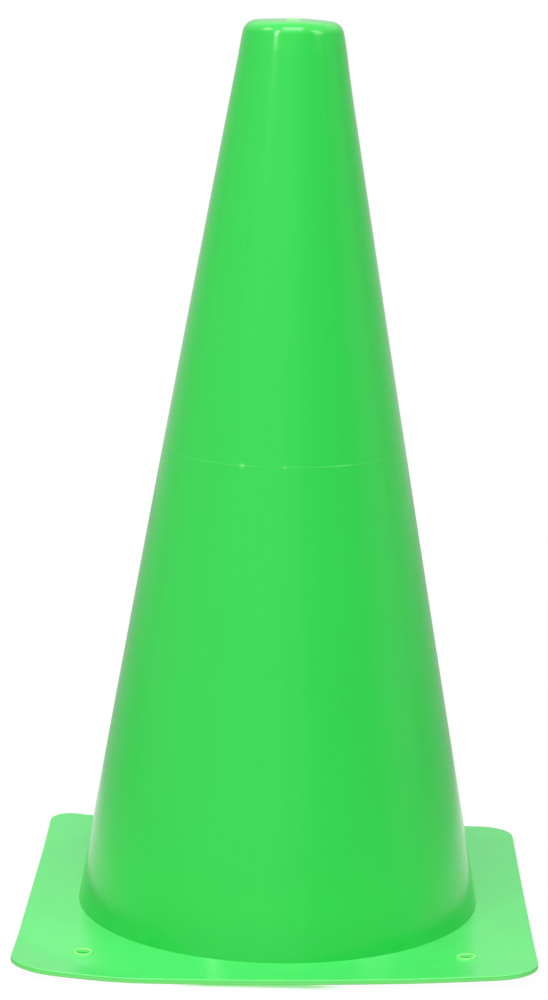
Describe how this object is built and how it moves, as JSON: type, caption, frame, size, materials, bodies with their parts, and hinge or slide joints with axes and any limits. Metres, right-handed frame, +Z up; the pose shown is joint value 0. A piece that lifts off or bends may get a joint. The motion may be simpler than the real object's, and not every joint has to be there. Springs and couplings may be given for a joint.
{
  "type": "sports marker cone",
  "caption": "Bright plastic marker cone for sports drills, hollow and stackable, with a closed rounded top and a thin square base that has a small peg hole near each corner.",
  "frame": {"origin": "centre of the underside of the base, on the ground", "axes": "+Z up along the cone's axis, X and Y along the edges of the square base, the pictured side faces -Y"},
  "size_m": [0.216, 0.216, 0.3818],
  "materials": {
    "green_plastic": "semi-gloss moulded polyethylene, bright green"
  },
  "bodies": {
    "root": {"cone_wall": "green_plastic", "crown": "green_plastic", "gate_nub": "green_plastic", "foot_ring": "green_plastic", "base_flange": "green_plastic", "hole_rims": "green_plastic"}
  },
  "joints": []
}
